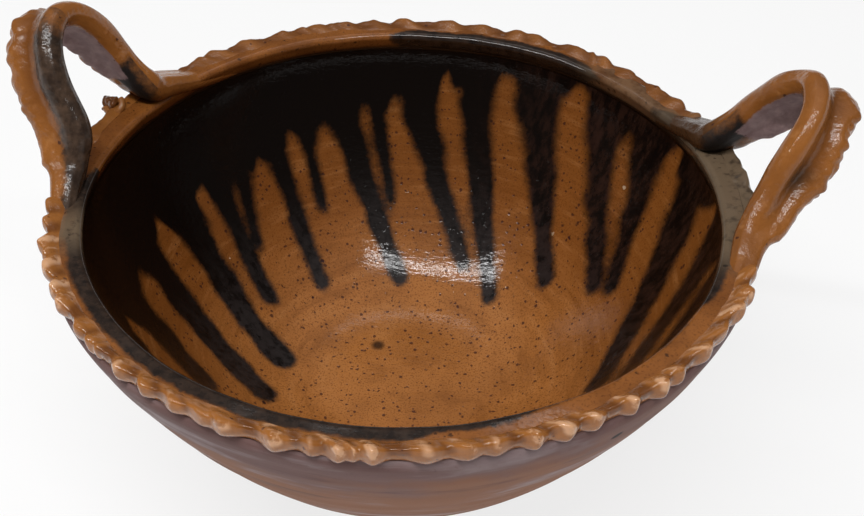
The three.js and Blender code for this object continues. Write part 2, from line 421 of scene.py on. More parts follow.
# Looks: shine is the shader's specular level, broad and fine are the glaze's marks per metre,
# and heights and places are in metres
bowlLook = {
    "shine": 0.24,
    "broad": 45.0,
    "fine": 700.0,
    "insideRough": (0.06, 0.12),  # where the glaze is thin, and where it pooled
    "outsideRough": (0.68, 0.5),  # bare, and where it was wiped
    "bump": 0.2,
    "bumpDepth": 0.0006,
    "wallHeights": (0.011, 0.05),  # the orange darkens from the floor to the wall
    "slipEdge": (0.03, 0.095, 1.8, 3.0),  # the slip's edge softens between these heights, from and to
    "greyHeights": (0.06, 0.018),  # and its runs turn grey downwards, thin slip and painted sheen
    "washHeights": (0.066, 0.098),  # the outside turns from pinkish clay to lilac wash
    "washRagged": 0.09,
    "scorch": {"middle": (-0.0146, 0.0191, 0.010), "inner": 0.0012, "outer": 0.0042},
    "chip": {"middle": (0.0825, -0.0955, 0.0915), "inner": 0.0012, "outer": 0.0020, "stretch": (0.35, 1, 1)},
}


def makeBowlFinish():
    material, tree, shader, place, glaze = glazedMaterial("glazedBowl", bowlLook)
    inside = fromPiece(tree, "inside")
    height = addNode(tree, "ShaderNodeSeparateXYZ", Vector=place).outputs["Z"]

    # inside: orange glaze, darker up the wall, wiped round, with grit, pits and pale specks
    wipes = drawnCloud(tree, place, (40.0, 40.0, 420.0), 4.0, 0.65)
    grit = cloud(tree, place, 1300.0, 2.0, 0.7)
    pits = specksOn(tree, place, 520.0, 0.5, 0.8)
    pitted = calc(tree, "MAXIMUM", times(tree, pits, 0.8), specksOn(tree, place, 130.0, 0.17, 0.3))
    orange = tint(tree, "orangeFloor", "orangeWall", ramp(tree, height, *bowlLook["wallHeights"]))
    orange = tint(tree, orange, "orangeBurnt", glaze["Pool"], 0.3)
    orange = tint(tree, orange, "orangePale", ramp(tree, wipes, 0.5, 0.75), 0.35)
    orange = tint(tree, orange, "orangeBurnt", ramp(tree, wipes, 0.5, 0.3), 0.35)
    orange = tint(tree, orange, "orangeBurnt", ramp(tree, grit, 0.48, 0.7), 0.75)
    orange = tint(tree, orange, "rustSpeck", pitted)
    orange = tint(tree, orange, "paleGrit", specksOn(tree, place, 60.0, 0.06, 0.4), 0.7)
    orange = tint(tree, orange, "sootAndShadowDark", spotAt(tree, place, **bowlLook["scorch"]), 0.85)

    # dark slip, thin and brown where it was wiped, grey where it runs out, that grey partly painted sheen
    slip = coverOn(tree, place, "slipDepth", ramp(tree, height, *bowlLook["slipEdge"]), 3.0, 2.4)
    streaks = drawnCloud(tree, place, (260.0, 260.0, 65.0), 4.0, 0.65)
    wipedOff = calc(tree, "SUBTRACT", 1.0, fromPiece(tree, "slipBody"))
    thin = times(tree, ramp(tree, streaks, 0.35, 0.75), wipedOff)
    # grey at the runs' lower ends: partly thin slip, partly painted sheen
    runOutAndSheen = times(tree, ramp(tree, height, *bowlLook["greyHeights"]), ramp(tree, streaks, 0.3, 0.65))
    slipColour = tint(tree, "slipBlack", "slipBrown", thin)
    slipColour = tint(tree, slipColour, "slipGreyAndSheen", runOutAndSheen)
    insideColour = tint(tree, orange, slipColour, slip["Cover"])

    # outside: thin lilac wash above, pinkish clay below, wiped round the pot
    bands = drawnCloud(tree, place, (11.0, 11.0, 75.0), 5.0, 0.62)
    patches = drawnCloud(tree, place, (18.0, 18.0, 40.0), 4.0, 0.6)
    dust = cloud(tree, place, 700.0, 3.0, 0.65)
    ragged = times(tree, calc(tree, "SUBTRACT", patches, 0.5), bowlLook["washRagged"])
    wash = ramp(tree, calc(tree, "ADD", height, ragged), *bowlLook["washHeights"])
    wiped = times(tree, ramp(tree, bands, 0.48, 0.62), ramp(tree, patches, 0.42, 0.6))
    clay = tint(tree, "pinkBrown", "lilac", wash)
    clay = tint(tree, clay, "lilacPale", wiped, 0.7)
    clay = tint(tree, clay, "streakDark", ramp(tree, bands, 0.47, 0.32), 0.75)
    clay = tint(tree, clay, "streakDark", ramp(tree, dust, 0.58, 0.8), 0.35)
    clay = tint(tree, clay, "sootAndShadowDark", spotAt(tree, place, **bowlLook["chip"]))

    dull = blendValues(tree, wiped, *bowlLook["outsideRough"])
    glossy = blendValues(tree, glaze["Pool"], *bowlLook["insideRough"])
    ripples = drawnCloud(tree, place, (150.0, 520.0, 420.0), 3.0, 0.6)
    insideHeight = calc(tree, "ADD", times(tree, glaze["Height"], 0.6), ripples)
    insideHeight = calc(tree, "SUBTRACT", insideHeight, times(tree, pitted, 0.6))
    outsideHeight = calc(tree, "ADD", times(tree, bands, 0.7), times(tree, dust, 0.4))
    colour = tint(tree, clay, insideColour, inside)
    rough = blendValues(tree, inside, dull, glossy)
    dress(tree, shader, colour, rough, blendValues(tree, inside, outsideHeight, insideHeight), bowlLook)
    return material


lipLook = {
    "shine": 0.33,
    "broad": 80.0,
    "fine": 520.0,
    "rough": (0.08, 0.15),
    "bump": 0.14,
    "bumpDepth": 0.0012,
}


def makeLipFinish():
    material, tree, shader, place, glaze = glazedMaterial("slippedLip", lipLook)
    mottle = cloud(tree, place, 240.0, 4.0, 0.65)
    grit = cloud(tree, place, 1100.0, 2.0, 0.7)
    brown = tint(tree, "brownGlaze", "brownDark", glaze["Pool"], 0.5)
    brown = tint(tree, brown, "brownDark", ramp(tree, grit, 0.5, 0.72), 0.7)
    slip = coverOn(tree, place, "slipDepth", 1.1, 5.0, 2.0)
    slipColour = tint(tree, "lipSlip", "lipSlipThin", ramp(tree, mottle, 0.28, 0.75))
    ash = ashOn(tree, place, 0.52, 0.70, 0.75)
    ash = tint(tree, ash, "lipSlip", ramp(tree, mottle, 0.5, 0.72), 0.55)
    grey = times(tree, fromPiece(tree, "greyed"), ramp(tree, mottle, 0.05, 0.35))
    colour = tint(tree, brown, slipColour, slip["Cover"])
    colour = tint(tree, colour, ash, grey)
    colour = tint(tree, colour, "sootAndShadowDark", specksOn(tree, place, 330.0, 0.34, 0.6), 0.7)
    # the foot of the band's inner face is black from slip and from painted shadow in the crease
    colour = tint(tree, colour, "slipBlack", fromPiece(tree, "innerFaceSlipAndShadow"))
    rough = blendValues(tree, glaze["Pool"], *lipLook["rough"])
    dress(tree, shader, colour, rough, glaze["Height"], lipLook)
    return material


coilLook = {
    "shine": 0.45,
    "broad": 120.0,
    "fine": 600.0,
    "rough": (0.05, 0.10),
    "underRough": 0.5,
    "bump": 0.6,
    "bumpDepth": 0.0012,
}


def makeCoilFinish():
    # brown glaze, dark in the hollows and worn pale on the ridges, the pale crests also painted glints, with
    # bare clay under the roll
    material, tree, shader, place, glaze = glazedMaterial("glazedCoil", coilLook)
    ridge = fromPiece(tree, "ridge")
    under = fromPiece(tree, "under")
    # pale patches on the ridge crests: partly wear, partly painted glints
    wornAndGlint = times(tree, ramp(tree, ridge, 0.45, 0.75), ramp(tree, glaze["Height"], 0.44, 0.53))
    brown = tint(tree, "coilHollow", "coilBrown", ramp(tree, ridge, -0.1, 0.4))
    brown = tint(tree, brown, "coilHollow", glaze["Pool"], 0.3)
    brown = tint(tree, brown, "coilPaleAndGlint", wornAndGlint)
    brown = tint(tree, brown, "rustSpeck", specksOn(tree, place, 300.0, 0.3, 0.4), 0.7)
    brown = tint(tree, brown, ashOn(tree, place, 0.48, 0.64, 0.8), fromPiece(tree, "greyed"))
    brown = tint(tree, brown, "lilac", under)
    gloss = blendValues(tree, glaze["Pool"], *coilLook["rough"])
    gloss = blendValues(tree, under, gloss, coilLook["underRough"])
    dress(tree, shader, brown, gloss, glaze["Height"], coilLook)
    return material


strapLook = {
    "shine": 0.3,
    "broad": 60.0,
    "fine": 420.0,
    "rough": (0.12, 0.24),
    "undercutShadowRough": 0.7,
    "bareRough": 0.75,
    "bump": 0.5,
    "bumpDepth": 0.0024,
}


def makeStrapFinish():
    material, tree, shader, place, glaze = glazedMaterial("glazedStrap", strapLook)
    mottle = cloud(tree, place, 200.0, 4.0, 0.6)
    smoke = times(tree, fromPiece(tree, "smoked"), ramp(tree, mottle, 0.15, 0.42))
    slip = coverOn(tree, place, "slipDepth", 1.6, 6.0, 3.0)
    # painted shadow under the back legs near their feet, in the black of soot
    undercutShadow = coverOn(tree, place, "undercutShadowDepth", 2.0, 5.0, 3.0)
    slipColour = tint(tree, "strapSlip", "strapSlipThin", ramp(tree, mottle, 0.35, 0.7))
    brown = tint(tree, "strapBrown", "brownDark", glaze["Pool"], 0.35)
    brown = tint(tree, brown, "brownPale", ramp(tree, mottle, 0.55, 0.8), 0.5)
    # painted shade darkens the finger groove
    brown = tint(tree, brown, "brownDark", fromPiece(tree, "groove"), 0.6)
    brown = tint(tree, brown, "smokeBrown", smoke, 0.9)
    brown = tint(tree, brown, "rustSpeck", specksOn(tree, place, 280.0, 0.28, 0.4), 0.8)
    brown = tint(tree, brown, slipColour, slip["Cover"])
    # painted shadow under the back legs
    brown = tint(tree, brown, "sootAndShadowDark", undercutShadow["Cover"])

    # bare clay on the face towards the fingers, with burnt specks along its edge
    bare = coverOn(tree, place, "bareDepth", 0.35, 2.5, 1.5)
    burnt = times(tree, specksOn(tree, place, 420.0, 0.5, 0.75), bare["Rim"])
    clay = tint(tree, "bareClay", "bareClayPale", ramp(tree, mottle, 0.35, 0.7))
    clay = tint(tree, clay, "rustSpeck", burnt, 0.9)
    gloss = blendValues(tree, glaze["Pool"], *strapLook["rough"])
    gloss = blendValues(tree, undercutShadow["Cover"], gloss, strapLook["undercutShadowRough"])
    gloss = blendValues(tree, bare["Cover"], gloss, strapLook["bareRough"])
    dress(tree, shader, tint(tree, brown, clay, bare["Cover"]), gloss, glaze["Height"], strapLook)
    return material


bowlFinish = makeBowlFinish()
lipFinish = makeLipFinish()
coilFinish = makeCoilFinish()
strapFinish = makeStrapFinish()
print("materials made")

# Bowl: a turned shell with a flat underside. Lengths in mm, angles in degrees of the pot's own
# frame, where 0 is to the right and 90 is to the back.
bowl = {
    "baseRadius": 63,
    "floorThickness": 10,
    "cavityFloor": 46,  # radius of the flat middle of the inside
    "outsideFullness": 1.2,  # 1 is a straight cone, 2 a quarter of an ellipse
    "insideFullness": 1.3,
    "floorSoftness": 16,  # the inside turns from floor to wall over about this far
    "softRadii": (100, 60),  # and less from the second of these radii out to the first
    "seam": 0.4,  # the wall runs up this far inside the lip
    "collarTop": 104.5,  # the outside runs up over the lip's edge to here, under the coil
    "collarThickness": 2,
    "roundSteps": 360,
    "wallSteps": 70,
    "floorSteps": 16,
    "ringDepth": 0.35,  # rings left by the shaping, outside, and their sizes up and round the wall
    "ringSizes": (6, 25),
    "calmFoot": 12,  # they die away over these heights at the foot and under the lip
    "calmTop": 8,
}

# Runs of slip: angle at the lip, angle and radius of the tip, half width at the lip and lower down
slipRuns = [
    (-9, -33, 95, 9, 4.0),
    (4.5, -21, 91, 7.4, 4.0),
    (21, -14, 82, 9.2, 4.6),
    (37.5, 20.3, 88, 8.8, 3.2),
    (51.5, 25.5, 84, 8.5, 3.6),
    (68, 42, 74, 11, 3.8),
    (83, 58, 58, 9, 3.6),
    (97, 75, 66, 10, 3.8),
    (106, 103, 85, 7, 2.7),
    (114.5, 101, 58, 10, 3.9),
    (123.8, 124.3, 86, 7, 2.7),
    (131.5, 135, 63, 7, 3.9),
    (140, 148.5, 85, 8, 3.2),
    (148, 157.5, 69, 9, 4.2),
    (161, 180, 53, 11, 6.0),
    (177, 204.5, 60, 10, 6.0),
    (193, 211, 84, 12, 6.2),
    (211, 226, 90, 9, 4.5),
    (226, 236, 97, 9, 4.0),
    (241, 247, 88, 9, 4.2),
    (256, 259, 101, 8, 3.6),
    (271, 271, 92, 9, 4.4),
    (287, 284, 99, 8, 3.6),
    (302, 296, 90, 9, 4.2),
    (318, 306, 98, 9, 4.0),
    (334, 317, 91, 10, 4.4),
]

# Where the bare tongues between the runs end above, in an unbroken band of slip: angle and height
tongueTops = [
    (-14, 104),
    (0, 103),
    (12, 105),
    (29.5, 103),
    (43.5, 103),
    (59, 106),
    (74.5, 103),
    (88, 99),
    (101.5, 92),
    (108.5, 89),
    (119.5, 82),
    (125.5, 85),
    (136.5, 77),
    (151, 76),
    (169, 78),
    (183, 82),
    (207, 80),
    (225, 86),
    (250, 98),
    (280, 102),
    (310, 102),
    (346, 104),
]

slipBand = {
    "thinMiddle": 22,  # degrees, middle of the part where the slip is thin
    "thinFrom": 30,  # it thickens again between these far from there
    "thinTo": 65,
    "narrowing": 2.0,  # how the runs narrow: 1 is evenly, more is sooner
    "merge": 5.0,  # mm over which neighbouring runs flow together
    "ragged": 6,  # mm of unevenness in the band's lower edge, its size, and how it is drawn out down the wall
    "raggedSize": 6,
    "drawnOut": 0.3,
    "unevenRun": 0.25,  # share by which a run's width varies, over this many mm
    "unevenSize": 14,
    "webReach": 10,  # the band hangs lower beside a run, from this far off
    "webSlope": 1.5,
}


def wallCurve(start, end, fullness, steps):
    # one side of the wall as radius and height, flat at its foot and upright at its top
    points = []
    for i in range(steps + 1):
        turn = math.pi / 2 * i / steps
        outward = math.sin(turn) ** (2 / fullness)
        upward = 1 - math.cos(turn) ** (2 / fullness)
        points.append((mix(start[0], end[0], outward), mix(start[1], end[1], upward)))
    return points


def cavityHeight(radius):
    # the inside of the bowl, height by radius
    floor = bowl["floorThickness"]
    share = (radius - bowl["cavityFloor"]) / (pot["cavityRadius"] - bowl["cavityFloor"])
    if share <= 0:
        return floor
    turn = math.asin(min(1, share ** (bowl["insideFullness"] / 2)))
    return mix(floor, pot["lipBottom"], 1 - math.cos(turn) ** (2 / bowl["insideFullness"]))


def softCavityHeight(radius):
    # the same with an even turn from floor to wall: the mean over a short way in and out
    reach = bowl["floorSoftness"] * smoothstep(*bowl["softRadii"], radius)
    around = [abs(radius + reach * (i - 4) / 4) for i in range(9)]
    return sum(cavityHeight(r) for r in around) / len(around)


def polar(angleDegrees, radius):
    angle = math.radians(angleDegrees)
    return Vector((radius * math.cos(angle), radius * math.sin(angle)))


runLines = []
for lipAngle, tipAngle, tipRadius, lipHalf, runHalf in slipRuns:
    runLines.append((polar(lipAngle, pot["openingRadius"]), polar(tipAngle, tipRadius), lipHalf, runHalf))


def softMax(a, b, reach):
    share = max(0, reach - abs(a - b)) / reach
    return max(a, b) + share * share * reach / 4


def bandHeightAt(angleDegrees):
    # lower edge of the unbroken band of slip
    first = tongueTops[0][0]
    turned = (angleDegrees - first) % 360 + first
    for (startAngle, start), (endAngle, end) in zip(tongueTops, tongueTops[1:]):
        if startAngle <= turned <= endAngle:
            return mix(start, end, (turned - startAngle) / (endAngle - startAngle))
    return tongueTops[-1][1]


def slipDepthAt(point):
    # how far inside the slip a point of the inner wall lies, in mm, and less than 0 outside it
    flat = point.xy
    runDepth = -100
    for top, tip, lipHalf, runHalf in runLines:
        run = tip - top
        along = min(1, max(0, (flat - top).dot(run) / run.length_squared))
        half = mix(runHalf, lipHalf, (1 - along) ** slipBand["narrowing"])
        half *= 1 + slipBand["unevenRun"] * grain(point, slipBand["unevenSize"], 21)
        runDepth = softMax(runDepth, half - (flat - top - run * along).length, slipBand["merge"])
    falling = Vector((point.x, point.y, point.z * slipBand["drawnOut"]))
    uneven = slipBand["ragged"] * grain(falling, slipBand["raggedSize"], 8)
    web = slipBand["webSlope"] * max(0, slipBand["webReach"] + min(0, runDepth))
    bandDepth = point.z - bandHeightAt(math.degrees(math.atan2(point.y, point.x))) + web
    return softMax(bandDepth + uneven, runDepth, slipBand["merge"])


def makeBowl():
    bm = bmesh.new()
    inside, slipDepth, slipBody = addLayers(bm, "inside", "slipDepth", "slipBody")
    top = (pot["wallRadius"], pot["lipBottom"])
    seamTop = pot["lipBottom"] + bowl["seam"]
    cavityTop = (pot["cavityRadius"], seamTop)
    floor = bowl["floorThickness"]
    outside = wallCurve((bowl["baseRadius"], 0), top, bowl["outsideFullness"], bowl["wallSteps"])
    hollow = wallCurve((bowl["cavityFloor"], floor), cavityTop, bowl["insideFullness"], bowl["wallSteps"])
    hollowRadii = [radius for radius, height in hollow]
    collarInner = pot["wallRadius"] - bowl["collarThickness"]
    floorRadii = [bowl["cavityFloor"] * i / bowl["floorSteps"] for i in range(bowl["floorSteps"])]
    underRadii = [bowl["baseRadius"] * i / bowl["floorSteps"] for i in range(bowl["floorSteps"])]
    profile = [(r, 0) for r in underRadii] + outside
    profile += [(pot["wallRadius"], bowl["collarTop"]), (collarInner, bowl["collarTop"])]
    profile.append((collarInner, seamTop))
    outsideCount = len(profile)
    profile += [(r, softCavityHeight(r)) for r in reversed(floorRadii + hollowRadii)]
    row, edges = drawLine(bm, profile)
    for vert in row[outsideCount:]:
        vert[inside] = 1
    turnProfile(bm, row + edges, bowl["roundSteps"])
    for vert in bm.verts:
        if vert[inside] > 0.5:
            vert[slipDepth] = slipDepthAt(vert.co)
            fromThin = angleBetween(math.atan2(vert.co.y, vert.co.x), math.radians(slipBand["thinMiddle"]))
            around = math.degrees(abs(fromThin))
            vert[slipBody] = smoothstep(slipBand["thinFrom"], slipBand["thinTo"], around)
        else:
            vert[slipDepth] = -50
            upSize, roundSize = bowl["ringSizes"]
            rings = grain(Vector((0, 0, vert.co.z)), upSize, 3) + 0.5 * grain(vert.co, roundSize, 5)
            outward = Vector((vert.co.x, vert.co.y, 0))
            if outward.length > bowl["baseRadius"]:
                calm = smoothstep(0, bowl["calmFoot"], vert.co.z)
                calm *= smoothstep(0, bowl["calmTop"], pot["lipBottom"] - vert.co.z)
                vert.co += outward.normalized() * rings * bowl["ringDepth"] * calm
    return finishPiece("bowlShell", bm, "bowl_shell", bowlFinish)


# Lip: a flattened band on the bowl's edge, rounded at the opening
lip = {
    "round": 2.4,
    "innerFoot": 0.3,  # fine crease where the band was laid on the wall
    "bandOuter": 126.4,  # the band runs out under the coil
    "faceSteps": 8,
    "blackTo": 3,  # the slip of the wall runs up this far over the band's inner face, black also as painted shadow in the crease
    "topSteps": 10,
    "edgeSteps": 8,
    "roundSteps": 420,
    "waviness": 0.45,  # and its sizes up and across
    "wavinessSizes": (16, 22),
    "crease": 0.5,  # the inner face starts this far above the crease
    "arcSoft": 5,  # degrees over which an arc of slip or ash ends
    "ledge": 4,  # seat of the coil above the lip's underside
    "wallInset": 1,  # the lip's outer edge lies this far inside the wall
}

# Slip on the lip: middle and half of the arc in degrees, and how wide it is from the opening in mm
lipSlip = [
    (197, 13, 6.0),
    (222, 26, 6.2),
    (256, 28, 6.8),
    (284, 14, 4.4),
    (318, 28, 0.9),
    (346, 8, 4.0),
    (78, 21, 4.6),
    (31, 5, 8.0),
]
# Grey patches on it: middle, half and strength
lipGrey = [(9, 20, 1.0), (45, 12, 0.65), (199, 5, 0.9)]


def arcShare(angle, middle, half):
    # 1 in the middle of an arc, falling to 0 a little past its ends
    away = math.degrees(abs(angleBetween(angle, math.radians(middle))))
    return smoothstep(half + lip["arcSoft"], half - lip["arcSoft"], away)


def strongest(arcs, angle):
    return max(strength * arcShare(angle, middle, half) for middle, half, strength in arcs)


def makeLip():
    bm = bmesh.new()
    slipDepth, greyed, innerFaceSlipAndShadow = addLayers(bm, "slipDepth", "greyed", "innerFaceSlipAndShadow")
    opening = pot["openingRadius"]
    top = pot["rimHeight"]
    bottom = pot["lipBottom"]
    rounding = lip["round"]
    wallOuter = pot["wallRadius"] - lip["wallInset"]
    ledge = bottom + lip["ledge"]
    section = [(pot["cavityRadius"] - lip["innerFoot"], bottom)]
    for i in range(lip["faceSteps"]):
        share = i / lip["faceSteps"]
        height = mix(bottom + lip["crease"], top - rounding, share)
        section.append((mix(pot["cavityRadius"], opening, share), height))
    for i in range(lip["edgeSteps"] + 1):
        turn = math.pi - math.pi / 2 * i / lip["edgeSteps"]
        section.append((opening + rounding * (1 + math.cos(turn)), top + rounding * (math.sin(turn) - 1)))
    for i in range(1, lip["topSteps"] + 1):
        section.append((mix(opening + rounding, lip["bandOuter"], i / lip["topSteps"]), top))
    section += [(lip["bandOuter"], ledge), (wallOuter, ledge), (wallOuter, bottom)]
    row, edges = drawLine(bm, section, closed=True)
    turnProfile(bm, row + edges, lip["roundSteps"])
    for vert in bm.verts:
        angle = math.atan2(vert.co.y, vert.co.x)
        radius = vert.co.xy.length
        width = strongest(lipSlip, angle)
        vert[slipDepth] = width - (radius - opening) if width > 0.3 else -5
        isInside = radius < pot["cavityRadius"] + 0.1
        # black at the foot of the inner face: slip of the wall and painted shadow in the crease
        black = smoothstep(lip["blackTo"], lip["crease"], vert.co.z - bottom)
        vert[innerFaceSlipAndShadow] = black if isInside else 0
        vert[greyed] = strongest(lipGrey, angle)
        if vert.co.z > bottom + 1 and radius < lip["bandOuter"] + 0.1:
            upSize, acrossSize = lip["wavinessSizes"]
            vert.co.z += lip["waviness"] * grain(vert.co, upSize, 2)
            vert.co.xy *= 1 + lip["waviness"] * 0.7 * grain(vert.co, acrossSize, 7) / radius
    return finishPiece("lipRing", bm, "lip_ring", lipFinish)


# Coil: a soft roll on the outer edge of the rim, with a ridge left between each two presses of a finger
coil = {
    "innerEdge": 125.4,  # it is smeared in over the band to here
    "innerBack": 121.0,  # and to here at the back
    "smear": 1.6,  # unevenness of that edge, and its size
    "smearSize": 9,
    "rise": 3.0,  # ridge above the flat of the lip
    "riseBack": 1.6,
    "inset": 1.7,  # the coil's own edge lies this far inside its widest knobs
    "pitchFront": 11.8,
    "pitchBack": 15,
    "pitchJitter": 0.28,  # as a share of the pitch
    "ridgeHalf": 0.6,  # half of a ridge, as a share of the pitch
    "crest": 0.4,  # 0 is a round ridge, 1 a sharp one
    "ridgeOut": 2.4,  # how far a ridge stands out, up, and in over the band
    "ridgeUp": 1.5,
    "ridgeIn": 0.5,
    "pressIn": 0.8,  # how far the hollows are pressed in and down
    "pressDown": 1.4,
    "lean": 6.5,  # mm along the rim between the inner and the outer end of a ridge
    "leanLuck": (-0.2, 1.3),  # ranges for the lean, height and width of a ridge, as shares
    "highLuck": (0.5, 1.05),
    "halfLuck": (0.65, 1.15),
    "twinShare": 0.3,  # share of the ridges that have a lesser one beside them
    "twinPlace": (0.7, 1.0),  # range of its place in half widths, and its height and width as shares
    "twinHigh": 0.75,
    "twinHalf": 0.5,
    "softBack": 0.5,  # the ridges at the back are this much lower
    "plainRidge": 0.35,  # the short coils between the feet are about this high all along
    "flattened": 0.8,  # and pressed down to this share
    "footFade": 22,  # the ridges die away over this length before a handle's foot
    "underlap": 5,  # degrees that it runs on under the feet of the handles
    "endLength": 12,  # both ends taper towards this radius and height, inside the feet
    "endTaper": 0.6,
    "endRadius": 126,
    "endHeight": 103,
    "smokedEnd": 26,  # smoke reaches this far past the right handle's back foot
    "stepLength": 0.9,
    "lump": 0.7,  # heights and sizes of the unevenness of its upper side
    "lumpSizes": (4, 11),
    "wrinkle": 0.16,
    "wrinkleSize": 2,
    "backGrey": 0.5,  # how grey the back coil is at its smoked end
    "seed": 23,
}

# Section across the coil, as shares of its width from the inside and of its height from the seat
coilSection = [
    (-0.05, 0.30),
    (0.25, -0.12),
    (0.55, -0.28),
    (0.80, -0.24),
    (0.95, 0.06),
    (1.0, 0.40),
    (1.0, 0.68),
    (0.97, 0.88),
    (0.90, 0.97),
    (0.80, 1.0),
    (0.68, 0.97),
    (0.54, 0.88),
    (0.38, 0.75),
    (0.22, 0.62),
    (0.06, 0.50),
    (-0.10, 0.40),
]
luck = random.Random(coil["seed"])


def pressRidges(length, pitch, strength):
    # ridges between the presses: place along the coil, lean, strength and half width
    ridges = []
    count = round(length / pitch)
    for i in range(count + 1):
        place = (i + coil["pitchJitter"] * luck.uniform(-1, 1)) * length / count
        lean = coil["lean"] * luck.uniform(*coil["leanLuck"])
        high = strength * luck.uniform(*coil["highLuck"])
        half = coil["ridgeHalf"] * pitch * luck.uniform(*coil["halfLuck"])
        ridges.append((place, lean, high, half))
        if luck.random() < coil["twinShare"]:
            place += half * luck.uniform(*coil["twinPlace"])
            ridges.append((place, lean, high * coil["twinHigh"], half * coil["twinHalf"]))
    return ridges


def ridgeAt(ridges, along, outness):
    highest = 0
    for place, lean, high, half in ridges:
        off = min(1, abs(along - place - lean * (outness - 0.6)) / half)
        pinched = mix(0.5 + 0.5 * math.cos(math.pi * off), (1 - off) ** 1.5, coil["crest"])
        highest = max(highest, high * pinched)
    return highest


# Curl: a thread of clay left on the short coil between the left handle's feet, with a torn lump beside it
curl = {
    "angle": 162.8,  # degrees round the pot
    "radius": 131.0,
    "height": 109.8,
    "bend": 3.4,
    "thread": 1.5,
    "threadSides": 12,
    "threadSteps": 24,
    "turn": 215,  # degrees that the thread bends round, its tilt, and where it starts
    "tilt": 35,
    "start": 200,
    "tornAside": (-1.6, 1.6, -0.8),  # from the curl, and the half lengths of the lump
    "tornHalf": (3.8, 3.4, 3.0),
    "tornRagged": 2.4,
}


def addCurl(bm, ridgeLayer):
    middle = polar(curl["angle"], curl["radius"])
    seat = Matrix.Translation((middle.x, middle.y, curl["height"]))
    start = Matrix.Translation((curl["bend"], 0, 0)) @ Matrix.Rotation(math.pi / 2, 4, "X")
    sides = curl["threadSides"]
    ring = bmesh.ops.create_circle(bm, segments=sides, radius=curl["thread"], matrix=start)["verts"]
    ringEdges = list({edge for vert in ring for edge in vert.link_edges})
    before = set(bm.verts) - set(ring)
    bmesh.ops.spin(
        bm,
        geom=ring + ringEdges,
        axis=(0, 0, 1),
        cent=(0, 0, 0),
        angle=math.radians(curl["turn"]),
        steps=curl["threadSteps"],
    )
    closeEnds(bm, len(ring))
    thread = [vert for vert in bm.verts if vert not in before]
    seated = seat @ Matrix.Rotation(math.radians(curl["tilt"]), 4, "X")
    seated = seated @ Matrix.Rotation(math.radians(curl["start"]), 4, "Z")
    bmesh.ops.transform(bm, matrix=seated, verts=thread)
    for vert in thread:
        vert[ridgeLayer] = 0.5
    torn = bmesh.ops.create_icosphere(bm, subdivisions=3, radius=1)["verts"]
    shape = seat @ Matrix.Translation(curl["tornAside"]) @ Matrix.Diagonal((*curl["tornHalf"], 1))
    bmesh.ops.transform(bm, matrix=shape, verts=torn)
    for vert in torn:
        vert.co += noise.noise_vector(vert.co / curl["tornRagged"]) * curl["tornRagged"]


def makeCoil(
    name,
    node,
    startAngle,
    endAngle,
    pitch=0,
    strength=1,
    rise=coil["rise"],
    inner=coil["innerEdge"],
    greyShare=0,
    greyStart=0,
    hasCurl=False,
):
    bm = bmesh.new()
    ridgeLayer, under, greyed = addLayers(bm, "ridge", "under", "greyed")
    outer = pot["coilOuter"] - coil["inset"]
    width = outer - inner
    tall = pot["rimHeight"] + rise - pot["coilSeat"]
    length = (endAngle - startAngle) * outer
    section = [(inner + width * outness, pot["coilSeat"] + tall * lift) for outness, lift in coilSection]
    row, edges = drawLine(bm, section, closed=True)
    bmesh.ops.rotate(bm, cent=(0, 0, 0), matrix=Matrix.Rotation(startAngle, 3, "Z"), verts=row)
    bmesh.ops.spin(
        bm,
        geom=row + edges,
        axis=(0, 0, 1),
        cent=(0, 0, 0),
        angle=endAngle - startAngle,
        steps=round(length / coil["stepLength"]),
    )
    closeEnds(bm, len(row))
    ridges = pressRidges(length, pitch, strength) if pitch else []
    middle = (startAngle + endAngle) / 2
    fineSize, broadSize = coil["lumpSizes"]
    for vert in bm.verts:
        along = (middle + angleBetween(math.atan2(vert.co.y, vert.co.x), middle) - startAngle) * outer
        outness = (vert.co.xy.length - inner) / width
        lift = (vert.co.z - pot["coilSeat"]) / tall
        fromEnd = smoothstep(0, coil["footFade"], min(along, length - along))
        ridge = coil["plainRidge"]
        if pitch:
            ridge = mix(ridge, ridgeAt(ridges, along, outness), fromEnd)
        upper = smoothstep(0.2, 0.7, lift)
        outerShare = smoothstep(0.4, 0.95, outness)
        innerShare = smoothstep(0.45, 0.0, outness) * smoothstep(0.25, 0.45, lift)
        lump = coil["lump"] * (grain(vert.co, fineSize, 6) + 0.6 * grain(vert.co, broadSize, 7)) * upper
        lump += coil["wrinkle"] * grain(vert.co, coil["wrinkleSize"], 9) * upper
        outward = Vector((vert.co.x, vert.co.y, 0)).normalized()
        smeared = coil["ridgeIn"] * ridge + coil["smear"] * grain(vert.co, coil["smearSize"], 31)
        out = outerShare * mix(-coil["pressIn"], coil["ridgeOut"], ridge) - innerShare * smeared
        raised = upper * smoothstep(0.2, 0.7, outness) * mix(-coil["pressDown"], coil["ridgeUp"], ridge)
        vert[ridgeLayer] = min(1, max(0, mix(0.35, ridge * strength, upper)))
        vert[under] = smoothstep(0.1, -0.15, lift) * smoothstep(0.3, 0.8, outness)
        smoked = smoothstep(coil["smokedEnd"], coil["smokedEnd"] * 0.5, along)
        vert[greyed] = max(greyShare, greyStart * smoked)
        if not pitch:
            vert.co.z = pot["coilSeat"] + (vert.co.z - pot["coilSeat"]) * mix(1, coil["flattened"], upper)
        vert.co += outward * (out + lump)
        vert.co.z += raised + lump * 0.7
        buried = outward * coil["endRadius"] + Vector((0, 0, coil["endHeight"]))
        taper = smoothstep(coil["endLength"], 0, min(along, length - along))
        vert.co = vert.co.lerp(buried, coil["endTaper"] * taper)
    if hasCurl:
        addCurl(bm, ridgeLayer)
    piece = finishPiece(name, bm, node, coilFinish)
    addSubdivision(piece)
    return piece


